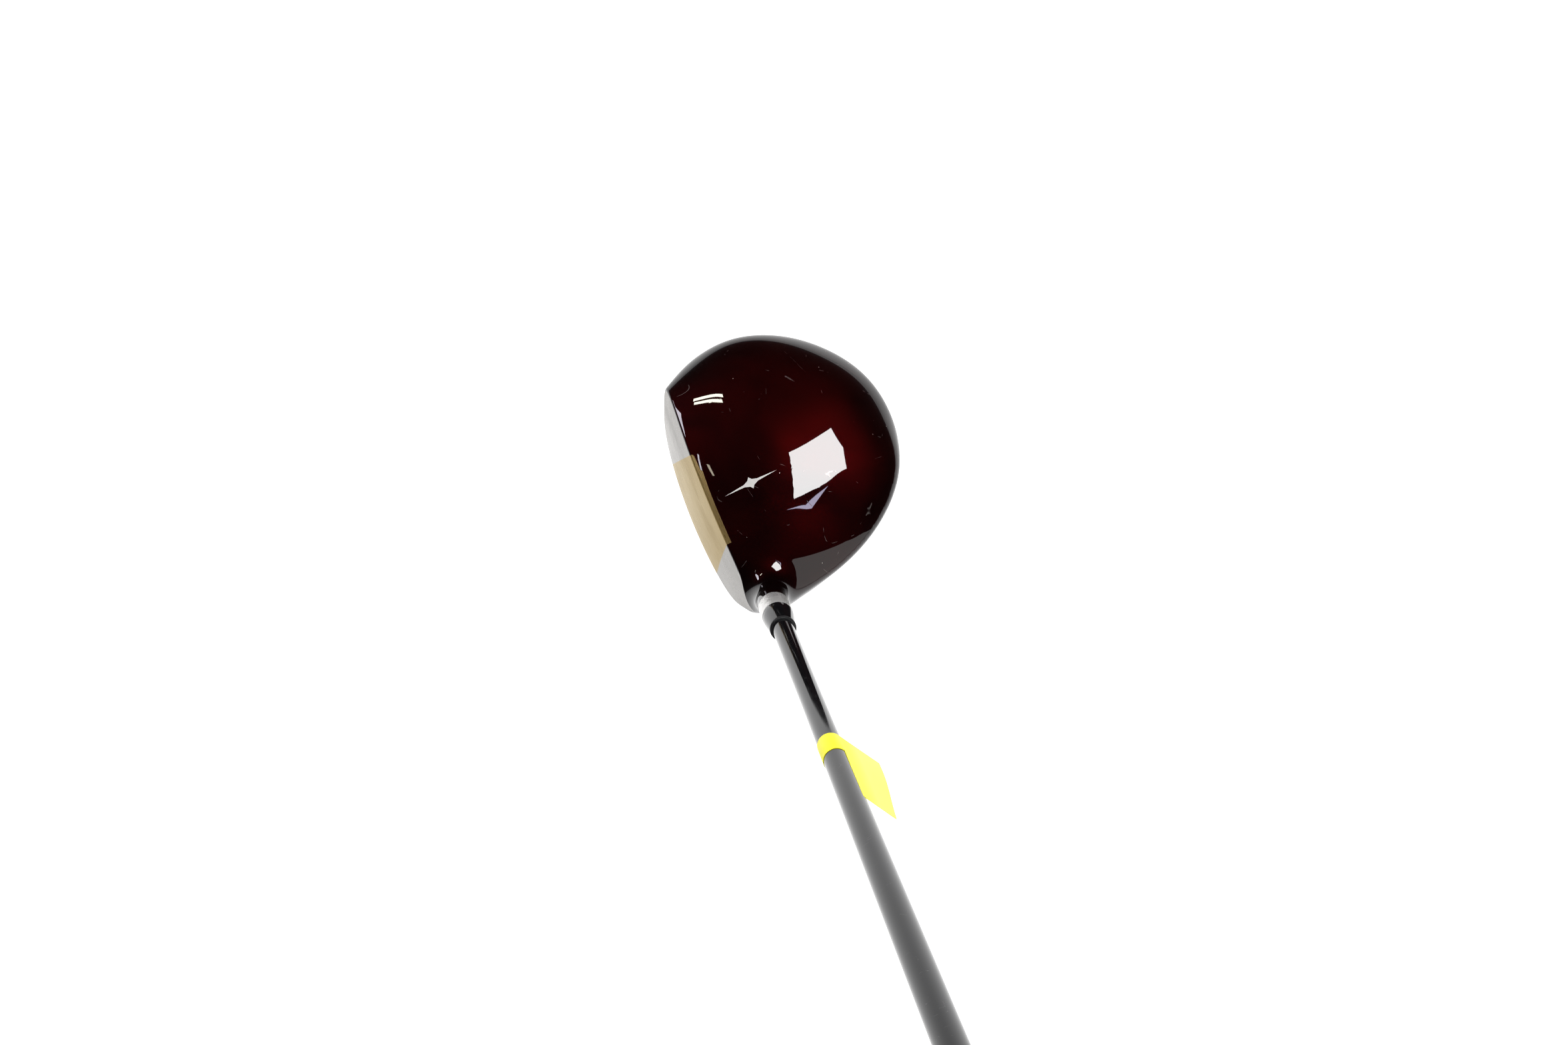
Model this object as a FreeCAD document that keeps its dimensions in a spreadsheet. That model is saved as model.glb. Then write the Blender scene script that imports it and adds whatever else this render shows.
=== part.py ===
"""A fairway wood: hollow metal head, neck, ferrule, shaft, grip and a stick-on price tag.

Frame: +Z up, sole on the ground plane, origin at the middle of the flat of the sole.
The face looks along -Y, the toe is towards -X, and the shaft leans towards +X in a plane of constant Y.
Everything on the shaft is made upright about the Z axis, its heights counted from the point where
the shaft axis meets the ground, and is then leaned over to the lie angle. Millimetres and degrees.
"""

import FreeCAD
import Part
import math
import os

import Sketcher
from FreeCAD import Placement, Rotation, Vector

SIZES = [
    # the head
    ("FaceRadius", 290, "bulge and roll of the striking face"),
    ("Loft", 15.5, "degrees between the face and a plumb line"),
    ("FaceX", 3, "centre of the face"),
    ("FaceY", -36.3, "centre of the face"),
    ("FaceZ", 17, "centre of the face"),
    ("FaceThick", 2.6, "striking plate"),
    ("InsertThick", 2, "insert, whose top edge shows as a strip on the crown"),
    ("InsertToe", -16.9, "toe end of the insert at mid height"),
    ("InsertToeSlant", 14, "degrees that the toe end of the insert leans"),
    ("InsertHeel", 28.2, "heel end of the insert at mid height"),
    ("InsertHeelSlant", 4.5, "degrees that the heel end of the insert leans"),
    ("WallThick", 0.8, "crown and skirt"),
    ("RimThick", 0.6, "painted rim round the striking plate"),
    ("PartingZ", 21, "joint between the body and the crown"),
    ("SoleThick", 2, "floor of the body"),
    # the sole plate and its screws
    ("PlateThick", 1, "sole plate"),
    ("PlateLong", 46, "sole plate, heel to toe"),
    ("PlateDeep", 30, "sole plate, front to back"),
    ("PlateCorner", 7, "sole plate corner radius"),
    ("ScrewPitchX", 34, "screw centres, heel to toe"),
    ("ScrewPitchY", 18, "screw centres, front to back"),
    ("ScrewRadius", 1.2, "screw shank"),
    ("ScrewLong", 5, "screw, head included"),
    ("ScrewHead", 2.2, "radius of the countersunk head"),
    ("SlotWide", 0.6, "slot in the screw head"),
    ("SlotDeep", 0.5, "slot in the screw head"),
    ("BossRadius", 2.6, "boss round each screw"),
    ("BossTop", 6, "closed end of each boss"),
    # the mark on the crown, a slim four-pointed star
    ("MarkLong", 23, "length of the mark, front to back"),
    ("MarkWide", 5, "width of the mark"),
    ("MarkWaist", 0.5, "half width of the long points at their root"),
    ("MarkRoot", 3, "where the long points start"),
    ("MarkX", 8.2, "middle of the mark"),
    ("MarkY", -12.2, "middle of the mark"),
    ("MarkThick", 0.3, "depth of the mark in the paint"),
    # the neck
    ("ShaftX", 33, "where the shaft axis meets the ground"),
    ("ShaftY", -22, "where the shaft axis meets the ground"),
    ("Lie", 57, "degrees between the shaft and the ground"),
    ("BoreRadius", 4.4, "bore of the hosel"),
    ("BoreBottom", 21, "floor of the bore"),
    ("PlugFloor", 1.2, "drain hole below the plug"),
    ("PlugTop", 24.5, "top of the plug under the shaft"),
    ("HoselBottom", 19, "lower end of the hosel tube"),
    ("HoselRadius", 5.6, "hosel tube inside the head"),
    ("FlareRadius", 8.4, "neck where it meets the crown"),
    ("FlareBottom", 26, "lower end of the flare"),
    ("FlareTop", 38, "upper end of the flare"),
    ("TrimTop", 25, "height up to which the neck is cut flush with the face"),
    ("NeckRadius", 6.2, "painted neck"),
    ("NeckBlend", 12, "hollow curve between flare and neck"),
    ("NeckTop", 48, "top of the painted neck"),
    ("CollarRadius", 6.25, "bare metal end of the hosel"),
    ("CollarTop", 60, "top of the hosel"),
    # the ferrule and its ring
    ("FerruleRadius", 6.15, "ferrule at the hosel"),
    ("FerruleFoot", 62, "end of the straight part of the ferrule"),
    ("FerruleTip", 4.8, "ferrule at its ring"),
    ("FerruleTop", 73.2, "top of the ferrule"),
    ("RingRadius", 5.25, "rubber ring, outside"),
    ("RingTop", 75, "top of the rubber ring"),
    ("RingRound", 0.45, "rounding of the rubber ring"),
    # the shaft
    ("TipRadius", 4.25, "0.335 inch tip"),
    ("TaperStart", 154, "end of the parallel tip"),
    ("ButtRadius", 7.62, "0.600 inch butt"),
    ("ButtTop", 1087, "top of the shaft"),
    ("TipBore", 2.6, "hollow of the shaft at the tip"),
    ("ButtBore", 6.6, "hollow of the shaft at the butt"),
    # the grip
    ("GripMouth", 822, "lower end of the grip"),
    ("GripMouthRadius", 9.2, "grip at its mouth"),
    ("GripRadius", 13.2, "grip at the cap"),
    ("TapeThick", 0.25, "tape between shaft and grip"),
    ("TapeBottom", 827, "lower end of the tape"),
    ("CapBottom", 1084, "lower face of the cap"),
    ("CapTop", 1092, "club length along the shaft axis"),
    ("CapRadius", 13.6, "cap"),
    ("CapPocket", 7.95, "pocket in the cap for the butt of the shaft"),
    ("CapRound", 1.2, "rounding of the cap"),
    ("VentRadius", 1.5, "vent hole in the cap"),
    # the tag
    ("TagBottom", 197, "lower edge of the tag"),
    ("TagBand", 14.5, "width of the band round the shaft"),
    ("TagLong", 56, "length of the flag along the shaft"),
    ("TagWide", 18.5, "width of the flag from where it leaves the band"),
    ("TagRadius", 4.48, "inside of the band"),
    ("TagThick", 0.2, "two layers of label"),
    ("TagTurn", 31, "degrees that the flag is turned about the shaft"),
]

# The corners of the plan outline of the head before the face is cut: distances from the middle,
# at even angles from the back of the head round by the toe, the face and the heel.
OUTLINE = [51.7, 52.8, 52.8, 55.1, 57.4, 57, 55.2, 55.5, 58, 60.5, 63, 62.5, 53.7, 50.7, 50.4, 52.3]

# The corners of the upright section of the head, from the middle of the sole to the middle of the crown:
# each row is a share of the plan outline and a height.
SECTION = [
    (0, -0.5), (0.42, -0.5), (0.78, 0.9), (0.935, 5), (0.972, 14.2),
    (1.04, 20.7), (0.85, 30), (0.625, 34.1), (0.19, 38.4), (0, 38.4),
]

# The same corners where the crown turns over in a tighter curve, and how far the head goes
# towards them at each angle of the plan outline: most at the heel, some at the toe, none at the face.
TIGHT_SECTION = [
    (0, -0.5), (0.42, -0.5), (0.78, 0.9), (0.935, 5), (0.972, 14.2),
    (0.98, 20.7), (1.08, 27), (0.675, 34.3), (0.19, 38.4), (0, 38.4),
]
TIGHTNESS = [-0.1, 0, -0.05, 0.15, 0.4, -0.1, 1.1, 0, 0, 0, 0, 0, 0.7, 0.75, 0.8, 0.6]
MIDDLE_Z = 20
HALF_WIDTH = 52
WIDE = 400

document = FreeCAD.newDocument("FairwayWood")
sheet = document.addObject("Spreadsheet::Sheet", "Sizes")
for row, (alias, value, meaning) in enumerate(SIZES, 1):
    sheet.set(f"A{row}", meaning)
    sheet.set(f"B{row}", str(value))
    sheet.setAlias(f"B{row}", alias)
document.recompute()

pieces = []


def size(formula):
    """The value of a formula: cell names joined by plus and minus."""
    total, sign = 0.0, 1
    for word in formula.split():
        if word in ("+", "-"):
            sign = 1 if word == "+" else -1
        else:
            total += sign * float(sheet.get(word))
    return total


def cells(formula):
    """The same formula as the document's objects read it."""
    return " ".join(word if word in ("+", "-") else "Sizes." + word for word in formula.split())


def keep(label, item):
    """Marks an object as one of the club's pieces."""
    item.Label = label
    pieces.append(item)
    return item


def shaped(label, shape):
    """A piece whose shape comes from Part's own functions."""
    item = document.addObject("Part::Feature", "Shape_" + label)
    item.Shape = shape
    return keep(label, item)


def bound(kind, name, **formulas):
    """A Part primitive whose sizes are bound to the sheet."""
    item = document.addObject("Part::" + kind, name)
    for member, formula in formulas.items():
        item.setExpression(member, cells(formula))
    document.recompute()
    return item


def leaned():
    """The placement of everything on the shaft: from upright to the lie angle."""
    foot = Vector(size("ShaftX"), size("ShaftY"), 0)
    return Placement(foot, Rotation(Vector(0, 1, 0), 90 - size("Lie")))


def turned(name, profile):
    """A body turned about the Z axis from a closed profile of radius and height formulas."""
    body = document.addObject("PartDesign::Body", "Body_" + name)
    sketch = body.newObject("Sketcher::SketchObject", "Sketch_" + name)
    plane = next(item for item in body.Origin.OriginFeatures if item.Role == "XZ_Plane")
    sketch.AttachmentSupport = (plane, "")
    sketch.MapMode = "FlatFace"
    corners = [Vector(size(radius), size(height), 0) for radius, height in profile]
    for start, end in zip(corners, corners[1:] + corners[:1]):
        sketch.addGeometry(Part.LineSegment(start, end))
    for line in range(len(corners)):
        following = (line + 1) % len(corners)
        sketch.addConstraint(Sketcher.Constraint("Coincident", line, 2, following, 1))
    for line, (radius, height) in enumerate(profile):
        for direction, formula in (("DistanceX", radius), ("DistanceY", height)):
            number = sketch.addConstraint(Sketcher.Constraint(direction, -1, 1, line, 1, size(formula)))
            sketch.setExpression(f"Constraints[{number}]", cells(formula))
    turn = body.newObject("PartDesign::Revolution", "Turn_" + name)
    turn.Profile = sketch
    turn.ReferenceAxis = (sketch, ["V_Axis"])
    turn.Angle = 360
    document.recompute()
    return body


def rounded(body, radius, chosen):
    """Rounds the edges of a body that the test chooses."""
    edges = [f"Edge{n}" for n, edge in enumerate(body.Shape.Edges, 1) if chosen(edge)]
    base = body.Tip
    fillet = body.newObject("PartDesign::Fillet", "Round_" + body.Name)
    fillet.Base = (base, edges)
    fillet.setExpression("Radius", cells(radius))
    document.recompute()
    return body


def circle_at(radius, height):
    """A test for the circular edge of that radius and height about the Z axis."""
    def chosen(edge):
        curve = edge.Curve
        if not isinstance(curve, Part.Circle):
            return False
        return abs(curve.Radius - size(radius)) < 0.001 and abs(curve.Center.z - size(height)) < 0.001
    return chosen


def cut(name, base, tool):
    """One object less another."""
    item = document.addObject("Part::Cut", name)
    item.Base, item.Tool = base, tool
    document.recompute()
    return item


def common(name, base, tool):
    """What two objects share."""
    item = document.addObject("Part::Common", name)
    item.Base, item.Tool = base, tool
    document.recompute()
    return item


def lean(item):
    """Leans an upright object over to the lie angle."""
    item.Placement = leaned()
    document.recompute()
    return item


def lifted(height, upright):
    """A height of the section, drawn in towards the middle height."""
    return MIDDLE_Z + (height - MIDDLE_Z) * upright


def section(tightness):
    """The corners of the upright section, part of the way from the plain ones to the tight ones."""
    return [
        (share + (tight_share - share) * tightness, height + (tight_height - height) * tightness)
        for (share, height), (tight_share, tight_height) in zip(SECTION, TIGHT_SECTION)
    ]


def head_solid(inset):
    """The full head, with no face cut, drawn in by an inset all round."""
    count = len(OUTLINE)
    across = 1 - inset / HALF_WIDTH
    upright = 1 - inset / MIDDLE_Z
    poles = []
    for number, distance in enumerate(OUTLINE):
        angle = math.radians(90 + 360 * number / count)
        corner = Vector(math.cos(angle), math.sin(angle), 0) * distance * across
        poles.append([
            corner * share + Vector(0, 0, lifted(height, upright)) for share, height in section(TIGHTNESS[number])
        ])
    inner_knots = len(SECTION) - 4
    surface = Part.BSplineSurface()
    surface.buildFromPolesMultsKnots(
        poles,
        [1] * (count + 1),
        [4] + [1] * inner_knots + [4],
        [float(knot) for knot in range(count + 1)],
        [float(knot) for knot in range(inner_knots + 2)],
        True,
        False,
        3,
        3,
    )
    solid = Part.Solid(Part.Shell([surface.toShape()]))
    if solid.Volume < 0:
        solid.reverse()
    return solid


def face_ball(depth):
    """The ball whose front is the face, or a surface that far behind it."""
    tilt = math.radians(size("Loft"))
    radius = size("FaceRadius")
    front = Vector(size("FaceX"), size("FaceY"), size("FaceZ"))
    outward = Vector(0, -math.cos(tilt), math.sin(tilt))
    return Part.makeSphere(radius - depth, front - outward * radius)


def slab(bottom, top):
    """Everything between two heights."""
    return Part.makeBox(WIDE, WIDE, top - bottom, Vector(-WIDE / 2, -WIDE / 2, bottom))


def prism(points, along):
    """A flat outline pushed along a vector."""
    ring = Part.makePolygon(points + points[:1])
    return Part.Face(ring).extrude(along)


def insert_zone():
    """The block of the face, wider at the sole, that the insert takes up."""
    middle = size("FaceZ")

    def corner(end, lean, height):
        slope = math.tan(math.radians(lean))
        return Vector(end + (height - middle) * slope, -WIDE / 4, height)

    toe = (size("InsertToe"), size("InsertToeSlant"))
    heel = (size("InsertHeel"), -size("InsertHeelSlant"))
    points = [corner(*toe, 0), corner(*heel, 0), corner(*heel, 50), corner(*toe, 50)]
    return prism(points, Vector(0, WIDE / 4, 0))


def mark_zone():
    """The upright prism of the star on the crown."""
    half_long, half_wide = size("MarkLong") / 2, size("MarkWide") / 2
    waist, root = size("MarkWaist"), size("MarkRoot")
    star = [
        (0, half_long), (waist, root), (half_wide, 0), (waist, -root),
        (0, -half_long), (-waist, -root), (-half_wide, 0), (-waist, root),
    ]
    middle = Vector(size("MarkX"), size("MarkY"), size("PartingZ"))
    return prism([middle + Vector(x, y, 0) for x, y in star], Vector(0, 0, 40))


def make_hosel():
    """The neck: a tube that flares into the crown, cut flush with the face below the top line."""
    neck = turned("hosel", [
        ("BoreRadius", "BoreBottom"), ("BoreRadius", "NeckTop"), ("NeckRadius", "NeckTop"),
        ("NeckRadius", "FlareTop"), ("FlareRadius", "FlareBottom"), ("HoselRadius", "FlareBottom"),
        ("HoselRadius", "HoselBottom"), ("PlugFloor", "HoselBottom"), ("PlugFloor", "BoreBottom"),
    ])
    rounded(neck, "NeckBlend", circle_at("NeckRadius", "FlareTop"))
    ahead = document.addObject("Part::Feature", "AheadOfFace")
    ahead.Shape = slab(0, size("TrimTop")).cut(face_ball(0))
    return keep("hosel", cut("Trim_hosel", lean(neck), ahead))


def make_plug():
    """The small plug that keeps the adhesive in the bore, under the shaft."""
    plug = bound("Cylinder", "Plug", Radius="BoreRadius", Height="PlugTop - BoreBottom")
    plug.Placement = leaned().multiply(Placement(Vector(0, 0, size("BoreBottom")), Rotation()))
    return keep("tip_plug", plug)


def make_adhesive():
    """The sleeve of adhesive between the shaft and the bore."""
    sleeve = turned("hosel_adhesive", [
        ("TipRadius", "PlugTop"), ("TipRadius", "CollarTop"),
        ("BoreRadius", "CollarTop"), ("BoreRadius", "PlugTop"),
    ])
    return keep("hosel_adhesive", lean(sleeve))


def make_collar():
    """The bare metal end of the hosel."""
    ring = turned("hosel_collar", [
        ("BoreRadius", "NeckTop"), ("BoreRadius", "CollarTop"),
        ("CollarRadius", "CollarTop"), ("CollarRadius", "NeckTop"),
    ])
    return keep("hosel_collar", lean(ring))


def make_ferrule():
    """The black sleeve that tapers from the hosel to the shaft."""
    sleeve = turned("ferrule", [
        ("TipRadius", "CollarTop"), ("TipRadius", "FerruleTop"), ("FerruleTip", "FerruleTop"),
        ("FerruleRadius", "FerruleFoot"), ("FerruleRadius", "CollarTop"),
    ])
    return keep("ferrule", lean(sleeve))


def make_ferrule_ring():
    """The rubber ring on the end of the ferrule."""
    ring = turned("ferrule_ring", [
        ("TipRadius", "FerruleTop"), ("TipRadius", "RingTop"),
        ("RingRadius", "RingTop"), ("RingRadius", "FerruleTop"),
    ])

    def outside(edge):
        return any(circle_at("RingRadius", height)(edge) for height in ("FerruleTop", "RingTop"))

    rounded(ring, "RingRound", outside)
    return keep("ferrule_ring", lean(ring))


def make_shaft():
    """The hollow shaft: a parallel tip, then a steady taper to the butt."""
    tube = turned("shaft", [
        ("TipRadius", "PlugTop"), ("TipRadius", "TaperStart"), ("ButtRadius", "ButtTop"),
        ("ButtBore", "ButtTop"), ("TipBore", "TaperStart"), ("TipBore", "PlugTop"),
    ])
    return keep("shaft", lean(tube))


def taper_space(name, extra):
    """A solid cone round the tapered part of the shaft, thicker than it by an extra."""
    space = bound(
        "Cone", name,
        Radius1="TipRadius" + extra, Radius2="ButtRadius" + extra, Height="ButtTop - TaperStart",
    )
    space.Placement = Placement(Vector(0, 0, size("TaperStart")), Rotation())
    document.recompute()
    return space


def make_tape():
    """The double-sided tape that holds the grip on the shaft."""
    band = bound("Cylinder", "TapeBand", Radius="GripRadius", Height="CapBottom - TapeBottom")
    band.Placement = Placement(Vector(0, 0, size("TapeBottom")), Rotation())
    layer = common("TapeLayer", band, taper_space("TapeOutside", " + TapeThick"))
    return keep("grip_tape", lean(cut("Tape", layer, taper_space("TapeInside", ""))))


def make_grip():
    """The rubber grip, a long taper over the tape."""
    sleeve = turned("grip", [
        ("TipRadius", "GripMouth"), ("TipRadius", "CapBottom"),
        ("GripRadius", "CapBottom"), ("GripMouthRadius", "GripMouth"),
    ])
    rounded(sleeve, "CapRound", circle_at("GripMouthRadius", "GripMouth"))
    return keep("grip", lean(cut("GripSleeve", sleeve, taper_space("GripInside", " + TapeThick"))))


def make_cap():
    """The cap of the grip, with a small vent hole on the axis."""
    cap = turned("grip_cap", [
        ("VentRadius", "ButtTop"), ("VentRadius", "CapTop"), ("CapRadius", "CapTop"),
        ("CapRadius", "CapBottom"), ("CapPocket", "CapBottom"), ("CapPocket", "ButtTop"),
    ])
    rounded(cap, "CapRound", circle_at("CapRadius", "CapTop"))
    return keep("grip_cap", lean(cap))


def make_tag():
    """The folded label: a band round the shaft, and a flag that leaves it along a tangent."""
    outside = bound("Cylinder", "TagOutside", Radius="TagRadius + TagThick", Height="TagBand")
    inside = bound("Cylinder", "TagInside", Radius="TagRadius", Height="TagBand")
    flag = bound("Box", "TagFlag", Length="TagWide", Width="TagThick", Height="TagLong")
    bottom = size("TagBottom")
    for item in (outside, inside):
        item.Placement = Placement(Vector(0, 0, bottom), Rotation())
    turn = Rotation(Vector(0, 0, 1), size("TagTurn"))
    start = Vector(0, size("TagRadius") + size("TagThick") / 4, bottom)
    flag.Placement = Placement(turn.multVec(start), turn)
    band = cut("TagBandRing", outside, inside)
    tag = document.addObject("Part::Fuse", "TagWhole")
    tag.Base, tag.Tool = band, flag
    document.recompute()
    return keep("price_tag", lean(tag))


def make_sole_plate():
    """The thin plate let into the flat of the sole."""
    blank = bound("Box", "PlateBlank", Length="PlateLong", Width="PlateDeep", Height="PlateThick")
    blank.Placement = Placement(Vector(-size("PlateLong") / 2, -size("PlateDeep") / 2, 0), Rotation())
    document.recompute()
    corners = document.addObject("Part::Fillet", "PlateCorners")
    corners.Base = blank
    upright = [
        number for number, edge in enumerate(blank.Shape.Edges, 1)
        if abs(edge.Vertexes[0].Z - edge.Vertexes[-1].Z) > size("PlateThick") / 2
    ]
    corners.Edges = [(number, size("PlateCorner"), size("PlateCorner")) for number in upright]
    document.recompute()
    return corners


def make_screw(number, side_x, side_y):
    """One countersunk screw with a slot in its head, pointing up into the sole."""
    head = bound("Cone", f"ScrewHead{number}", Radius1="ScrewHead", Radius2="ScrewRadius", Height="PlateThick")
    shank = bound("Cylinder", f"ScrewShank{number}", Radius="ScrewRadius", Height="ScrewLong")
    whole = document.addObject("Part::Fuse", f"ScrewWhole{number}")
    whole.Base, whole.Tool = head, shank
    slot = bound("Box", f"ScrewSlot{number}", Length="ScrewHead + ScrewHead", Width="SlotWide", Height="SlotDeep")
    slot.Placement = Placement(Vector(-size("ScrewHead"), -size("SlotWide") / 2, 0), Rotation())
    screw = cut(f"Screw{number}", whole, slot)
    place = Vector(side_x * size("ScrewPitchX"), side_y * size("ScrewPitchY"), 0) * 0.5
    screw.Placement = Placement(place, Rotation(Vector(0, 0, 1), 40 * number))
    document.recompute()
    return keep(f"sole_screw_{number}", screw)


def make_head(hosel, plate, screws):
    """The body, crown, striking plate, insert, mark and sole plate, which share one outer skin."""
    neck = hosel.Shape.fuse(leaned_core())
    places = [screw.Placement.Base for screw in screws]
    holes = screw_space(places)

    skin = head_solid(0).common(face_ball(0)).common(slab(0, 60))
    hollow = head_solid(size("WallThick")).common(face_ball(size("FaceThick")))
    hollow = hollow.common(slab(size("SoleThick"), 60))
    front = head_solid(size("RimThick")).common(face_ball(0)).common(slab(size("SoleThick"), 60))
    front = front.cut(face_ball(size("FaceThick")))
    insert = skin.common(insert_zone()).cut(face_ball(size("InsertThick"))).cut(neck)
    mark = skin.cut(head_solid(size("MarkThick"))).common(mark_zone())

    bosses = [
        Part.makeCylinder(size("BossRadius"), size("BossTop") - size("SoleThick") / 2,
                          place + Vector(0, 0, size("SoleThick") / 2))
        for place in places
    ]
    shell = skin.cut(hollow).cut(front).fuse(bosses)
    for taken in (insert, mark, neck, plate.Shape, holes):
        shell = shell.cut(taken)
    parting = size("PartingZ")
    shaped("head_body", whole_solid(shell.common(slab(-1, parting))))
    shaped("crown", whole_solid(shell.common(slab(parting, 60))))
    shaped("face_plate", whole_solid(front.cut(insert).cut(neck)))
    shaped("face_insert", whole_solid(insert))
    shaped("crown_mark", whole_solid(mark))
    shaped("sole_plate", whole_solid(plate.Shape.cut(holes)))


def leaned_core():
    """The bore of the hosel filled in, so that nothing of the head reaches into it."""
    core = Part.makeCylinder(size("BoreRadius"), size("NeckTop") - size("BoreBottom"), Vector(0, 0, size("BoreBottom")))
    core.Placement = leaned()
    return core


def screw_space(places):
    """The countersunk holes of the sole screws."""
    spaces = []
    for place in places:
        head = Part.makeCone(size("ScrewHead"), size("ScrewRadius"), size("PlateThick"), place)
        spaces += [head, Part.makeCylinder(size("ScrewRadius"), size("ScrewLong"), place)]
    return spaces[0].fuse(spaces[1:])


def whole_solid(shape):
    """The one solid of a boolean's result: the largest, with no slivers."""
    return max(shape.Solids, key=lambda solid: solid.Volume)


hosel = make_hosel()
make_plug()
make_adhesive()
make_collar()
make_ferrule()
make_ferrule_ring()
make_shaft()
make_tape()
make_grip()
make_cap()
make_tag()
plate = make_sole_plate()
screws = []
for number, (side_x, side_y) in enumerate([(-1, -1), (-1, 1), (1, 1), (1, -1)], 1):
    screws.append(make_screw(number, side_x, side_y))
make_head(hosel, plate, screws)
document.recompute()

for item in document.Objects:
    if "Invalid" in item.State or "Error" in item.State:
        raise RuntimeError(f"{item.Label} failed: {item.State}")

os.makedirs("parts", exist_ok=True)
for piece in pieces:
    if piece.Shape.isNull() or not piece.Shape.isValid():
        raise RuntimeError(f"{piece.Label} has no valid shape")
    piece.Shape.exportStep(f"parts/{piece.Label}.step")
    print(f"{piece.Label}: {piece.Shape.Volume:.0f} mm3, {len(piece.Shape.Solids)} solid")
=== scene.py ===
import math

import bmesh
import bpy
import numpy as np
from mathutils import Matrix, Vector, geometry


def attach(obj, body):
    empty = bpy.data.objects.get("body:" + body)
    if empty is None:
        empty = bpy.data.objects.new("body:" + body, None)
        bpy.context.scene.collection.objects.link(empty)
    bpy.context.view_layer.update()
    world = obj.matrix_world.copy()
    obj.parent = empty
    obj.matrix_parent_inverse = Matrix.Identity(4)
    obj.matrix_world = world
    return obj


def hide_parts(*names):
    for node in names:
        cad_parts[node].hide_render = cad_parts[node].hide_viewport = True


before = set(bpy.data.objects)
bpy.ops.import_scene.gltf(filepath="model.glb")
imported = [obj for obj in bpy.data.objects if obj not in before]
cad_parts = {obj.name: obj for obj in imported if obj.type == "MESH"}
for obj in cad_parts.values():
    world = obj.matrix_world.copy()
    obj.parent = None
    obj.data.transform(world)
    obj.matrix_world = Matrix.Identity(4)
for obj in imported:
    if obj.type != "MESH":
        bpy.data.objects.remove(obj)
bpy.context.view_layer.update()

MM = 0.001

# Driving dimensions, in millimetres and degrees. Most are the CAD model's. Two corners of the outline are
# up to 0.06 mm further in than there, to keep the skin in the CAD model's box.

# corners of the plan outline, at even angles from the back round by the toe
OUTLINE = [51.7, 52.8, 52.8, 55.1, 57.37, 57, 55.2, 55.5, 57.94, 60.5, 63, 62.5, 53.7, 50.7, 50.4, 52.3]
# corners of the upright section: share of the outline and height
SKIRT = [(0, -0.5), (0.42, -0.5), (0.78, 0.9), (0.935, 5), (0.972, 14.2)]
SECTION = SKIRT + [(1.04, 20.7), (0.85, 30), (0.625, 34.1), (0.19, 38.4), (0, 38.4)]
# the same with a tighter turn of the crown, and its share at the outline's angles
TIGHT_SECTION = SKIRT + [(0.98, 20.7), (1.08, 27), (0.675, 34.3), (0.19, 38.4), (0, 38.4)]
TIGHTNESS = [-0.1, 0, -0.05, 0.15, 0.4, -0.1, 1.1, 0, 0, 0, 0, 0, 0.7, 0.75, 0.8, 0.6]
SECTION_SCALE = 50
SECTION_MIDDLE = 18

FACE_RADIUS = 290
LOFT = math.radians(15.5)
FACE_CENTRE = np.array([3, -36.3, 17])
EDGE_ROUND = 0.6
INSERT_TOE, INSERT_HEEL = -16.9, 28.2
TOE_SLOPE, HEEL_SLOPE = math.tan(math.radians(14)), math.tan(math.radians(4.5))
# depth of the insert's strip on the crown at places from toe to heel
STRIP_X = [-12.6, -11.8, -5.2, -4.5, 0, 6]
STRIP_DEPTH = [0.7, 1.25, 1.6, 2.2, 2.05, 1.85]

FOOT = np.array([33, -22, 0])
LIE = math.radians(57)
AXIS = np.array([math.cos(LIE), 0, math.sin(LIE)])
NECK_RADIUS = 6.2
NECK_BLEND = 10
NECK_BOTTOM, NECK_TOP = 14, 48
SOLE_EDGE = 0.5
# where up the shaft axis the face starts to run out forward, how softly, and how steeply
RUN_OUT, RUN_OUT_START, RUN_OUT_SLOPE = 28, 6, 1.6

PARTING_Z = 21
# thickness of the head's pieces in this scene, width of the painted rim, and reach of the hosel's piece
SHELL = 0.8
RIM = 0.7
NECK_REACH = 8.6
PLATE_LONG, PLATE_DEEP, PLATE_CORNER = 46, 30, 7
MARK_X, MARK_Y, MARK_TILT = 8.2, -12.2, 4

# pieces on the shaft: radii, and heights along its axis from the ground
COLLAR_TOP, FERRULE_TOP, GRIP_TOP = 60, 73.2, 1084
TIP_RADIUS, TAPER_START, BUTT_RADIUS, BUTT_TOP = 4.25, 154, 7.62, 1087
# room between a turned piece and the one inside it
GAP = 0.02

# kinds of surface that a point of the head's skin lies on
OUTER, EDGE, FRONT = 0, 1, 2


# The skin of the head as smooth functions: negative inside, positive outside

def spline_basis(offset):
    """Weights of the four corners round a stretch of a uniform cubic spline."""
    t = offset
    first, second = (1 - t) ** 3 / 6, (3 * t ** 3 - 6 * t ** 2 + 4) / 6
    return first, second, (1 + 3 * t + 3 * t ** 2 - 3 * t ** 3) / 6, t ** 3 / 6


def closed_spline(corners, samples):
    """Points of a uniform cubic spline that runs round the corners."""
    along = np.arange(samples) * len(corners) / samples
    first = np.floor(along).astype(int)
    weights = enumerate(spline_basis(along - first))
    return sum(weight[:, None] * corners[(first + step - 1) % len(corners)] for step, weight in weights)


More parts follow.
